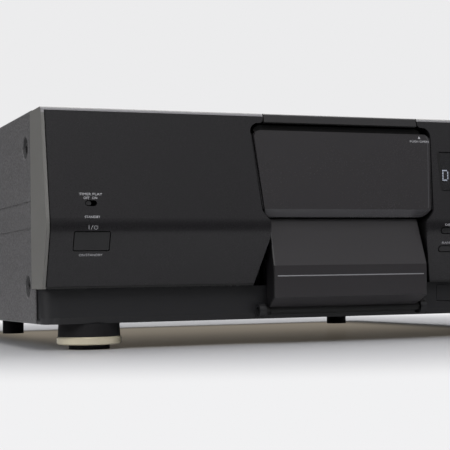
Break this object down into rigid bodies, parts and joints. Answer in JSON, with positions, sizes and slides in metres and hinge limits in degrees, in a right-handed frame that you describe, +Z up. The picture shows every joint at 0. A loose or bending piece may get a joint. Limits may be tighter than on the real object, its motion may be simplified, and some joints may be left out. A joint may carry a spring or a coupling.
{
  "type": "cd mega changer",
  "caption": "Wide disc changer whose drop-front door opens on a turntable ring of standing discs, with a player in its middle, front controls and cone feet.",
  "frame": {"origin": "centre of the bounding box's base, on the resting surface", "axes": "+X to the right seen from the front, -Y out of the front, +Z up"},
  "size_m": [0.44, 0.4303, 0.1625],
  "materials": {
    "frame_plastic": "fine grained, warm dark grey",
    "face_plastic": "satin",
    "door_plastic": "satin",
    "base_plastic": "smooth matte",
    "button_plastic": "satin",
    "inner_plastic": "matte black",
    "gear_plastic": "natural white",
    "smoked_window": "smoked, clear",
    "tube_glass": "dark glass",
    "cover_paint": "grained dark grey",
    "zinc_sheet": "zinc plated",
    "rear_paint": "satin black",
    "screw_steel": "black zinc",
    "motor_steel": "plain",
    "gold_ring": "satin gold",
    "foot_rubber": "matte",
    "belt_rubber": "matte",
    "circuit_board": "solder resist",
    "switch_plastic": "matte",
    "core_steel": "varnished laminations",
    "jack_plastic": "gloss black",
    "jack_metal": "nickel plated"
  },
  "bodies": {
    "case": {"chassis_pan": "zinc_sheet", "rear_panel": "rear_paint", "top_cover": "cover_paint", "case_screws": "screw_steel", "front_bezel": "frame_plastic", "face_plate_left": "face_plastic", "face_plate_right": "face_plastic", "door_lintel": "door_plastic", "base_strip": "base_plastic", "keyboard_socket": "inner_plastic", "display_window": "smoked_window", "display_tube": "tube_glass", "control_board": "circuit_board", "switch_board": "circuit_board", "key_switches": "switch_plastic", "latch_case": "inner_plastic", "front_feet": "base_plastic", "foot_rings": "gold_ring", "foot_pads": "foot_rubber", "rear_feet": "foot_rubber", "player_base": "inner_plastic", "roller_brackets": "zinc_sheet", "carousel_motor": "motor_steel", "drive_belt": "belt_rubber", "player_frame": "inner_plastic", "spindle_motor": "motor_steel", "load_motor": "motor_steel", "transformer": "core_steel", "main_board": "circuit_board", "rca_jacks": "jack_metal", "control_jacks": "jack_plastic", "ac_inlet": "jack_plastic"},
    "door": {"door_window": "door_plastic", "door_chin": "door_plastic", "door_liner": "inner_plastic"},
    "flap": {"port_flap": "base_plastic"},
    "power": {"power_button": "button_plastic"},
    "timer": {"timer_slider": "button_plastic"},
    "dial": {"jog_dial": "button_plastic"},
    "latch": {"latch_plunger": "gear_plastic"},
    "carousel": {"carousel_floor": "inner_plastic", "slot_dividers": "inner_plastic", "ring_gear": "gear_plastic"},
    "roller_1": {"ring_roller_1": "gear_plastic"},
    "roller_2": {"ring_roller_2": "gear_plastic"},
    "roller_3": {"ring_roller_3": "gear_plastic"},
    "pulley": {"drive_pulley": "gear_plastic"},
    "motor_wheel": {"motor_pulley": "gear_plastic"},
    "spindle": {"spindle_turntable": "gear_plastic"},
    "sled": {"pickup_sled": "switch_plastic"},
    "clamp": {"clamp_arm": "switch_plastic"},
    "loader": {"loader_arm": "gear_plastic"},
    "cam": {"cam_gear": "gear_plastic"},
    "pinion": {"load_pinion": "gear_plastic"},
    "oval_upper_1": {"oval_button_upper_1": "button_plastic"},
    "oval_upper_2": {"oval_button_upper_2": "button_plastic"},
    "oval_upper_3": {"oval_button_upper_3": "button_plastic"},
    "oval_lower_1": {"oval_button_lower_1": "button_plastic"},
    "oval_lower_2": {"oval_button_lower_2": "button_plastic"},
    "oval_lower_3": {"oval_button_lower_3": "button_plastic"}
  },
  "joints": [
    {"name": "door_hinge", "type": "hinge", "parent": "case", "child": "door", "pos_m": [0, -0.199, 0.0236], "axis": [1, 0, 0], "range_deg": [0, 80]},
    {"name": "flap_hinge", "type": "hinge", "parent": "case", "child": "flap", "pos_m": [0.0926, -0.1943, 0.0281], "axis": [1, 0, 0], "range_deg": [0, 85]},
    {"name": "power_press", "type": "slide", "parent": "case", "child": "power", "axis": [0, 1, 0], "range_m": [0, 0.002], "stiffness_N_per_m": 300},
    {"name": "timer_slide", "type": "slide", "parent": "case", "child": "timer", "axis": [1, 0, 0], "range_m": [0, 0.0037]},
    {"name": "dial_turn", "type": "hinge", "parent": "case", "child": "dial", "pos_m": [0.182, -0.20626, 0.0551], "axis": [0, -0.9403, -0.3404], "continuous": true},
    {"name": "latch_push", "type": "slide", "parent": "case", "child": "latch", "axis": [0, 1, 0], "range_m": [0, 0.0018], "stiffness_N_per_m": 150},
    {"name": "carousel_turn", "type": "hinge", "parent": "case", "child": "carousel", "pos_m": [0, 0.0046, 0.0321], "axis": [0, 0, 1], "continuous": true},
    {"name": "oval_upper_1_press", "type": "slide", "parent": "case", "child": "oval_upper_1", "axis": [0, 1, 0], "range_m": [0, 0.0012], "stiffness_N_per_m": 150},
    {"name": "oval_upper_2_press", "type": "slide", "parent": "case", "child": "oval_upper_2", "axis": [0, 1, 0], "range_m": [0, 0.0012], "stiffness_N_per_m": 150},
    {"name": "oval_upper_3_press", "type": "slide", "parent": "case", "child": "oval_upper_3", "axis": [0, 1, 0], "range_m": [0, 0.0012], "stiffness_N_per_m": 150},
    {"name": "oval_lower_1_press", "type": "slide", "parent": "case", "child": "oval_lower_1", "axis": [0, 1, 0], "range_m": [0, 0.0012], "stiffness_N_per_m": 150},
    {"name": "oval_lower_2_press", "type": "slide", "parent": "case", "child": "oval_lower_2", "axis": [0, 1, 0], "range_m": [0, 0.0012], "stiffness_N_per_m": 150},
    {"name": "oval_lower_3_press", "type": "slide", "parent": "case", "child": "oval_lower_3", "axis": [0, 1, 0], "range_m": [0, 0.0012], "stiffness_N_per_m": 150},
    {"name": "roller_1_turn", "type": "hinge", "parent": "case", "child": "roller_1", "pos_m": [0, 0.1646, 0.0268], "axis": [0, 1, 0], "continuous": true},
    {"name": "roller_2_turn", "type": "hinge", "parent": "case", "child": "roller_2", "pos_m": [-0.13856, -0.0754, 0.0268], "axis": [-0.866, -0.5, 0], "continuous": true},
    {"name": "roller_3_turn", "type": "hinge", "parent": "case", "child": "roller_3", "pos_m": [0.13856, -0.0754, 0.0268], "axis": [0.866, -0.5, 0], "continuous": true},
    {"name": "pulley_turn", "type": "hinge", "parent": "case", "child": "pulley", "pos_m": [-0.14001, -0.13541, 0.026], "axis": [0, 0, 1], "continuous": true},
    {"name": "motor_wheel_turn", "type": "hinge", "parent": "case", "child": "motor_wheel", "pos_m": [-0.1889, -0.15321, 0.024], "axis": [0, 0, 1], "continuous": true},
    {"name": "spindle_turn", "type": "hinge", "parent": "case", "child": "spindle", "pos_m": [-0.01, 0.0046, 0.0951], "axis": [1, 0, 0], "continuous": true},
    {"name": "sled_slide", "type": "slide", "parent": "case", "child": "sled", "axis": [0, 0, -1], "range_m": [0, 0.03]},
    {"name": "cam_turn", "type": "hinge", "parent": "case", "child": "cam", "pos_m": [0.031, -0.0114, 0.0376], "axis": [0, 0, 1], "range_deg": [0, 180]},
    {"name": "pinion_turn", "type": "hinge", "parent": "case", "child": "pinion", "pos_m": [0.03789, 0.01263, 0.0376], "axis": [0, 0, 1], "range_deg": [-720, 0]},
    {"name": "loader_swing", "type": "hinge", "parent": "case", "child": "loader", "pos_m": [0.02, 0.0246, 0.0476], "axis": [1, 0, 0], "range_deg": [0, 36]},
    {"name": "clamp_swing", "type": "hinge", "parent": "case", "child": "clamp", "pos_m": [0.008, 0.0426, 0.0951], "axis": [0, 0, 1], "range_deg": [0, 12]}
  ],
  "couplings": [
    {"joint": "roller_1_turn", "follows": "carousel_turn", "ratio": -32},
    {"joint": "roller_2_turn", "follows": "carousel_turn", "ratio": -32},
    {"joint": "roller_3_turn", "follows": "carousel_turn", "ratio": -32},
    {"joint": "pulley_turn", "follows": "carousel_turn", "ratio": -10},
    {"joint": "motor_wheel_turn", "follows": "carousel_turn", "ratio": -25},
    {"joint": "pinion_turn", "follows": "cam_turn", "ratio": -4},
    {"joint": "loader_swing", "follows": "cam_turn", "ratio": 0.2},
    {"joint": "clamp_swing", "follows": "cam_turn", "ratio": 0.0666}
  ]
}
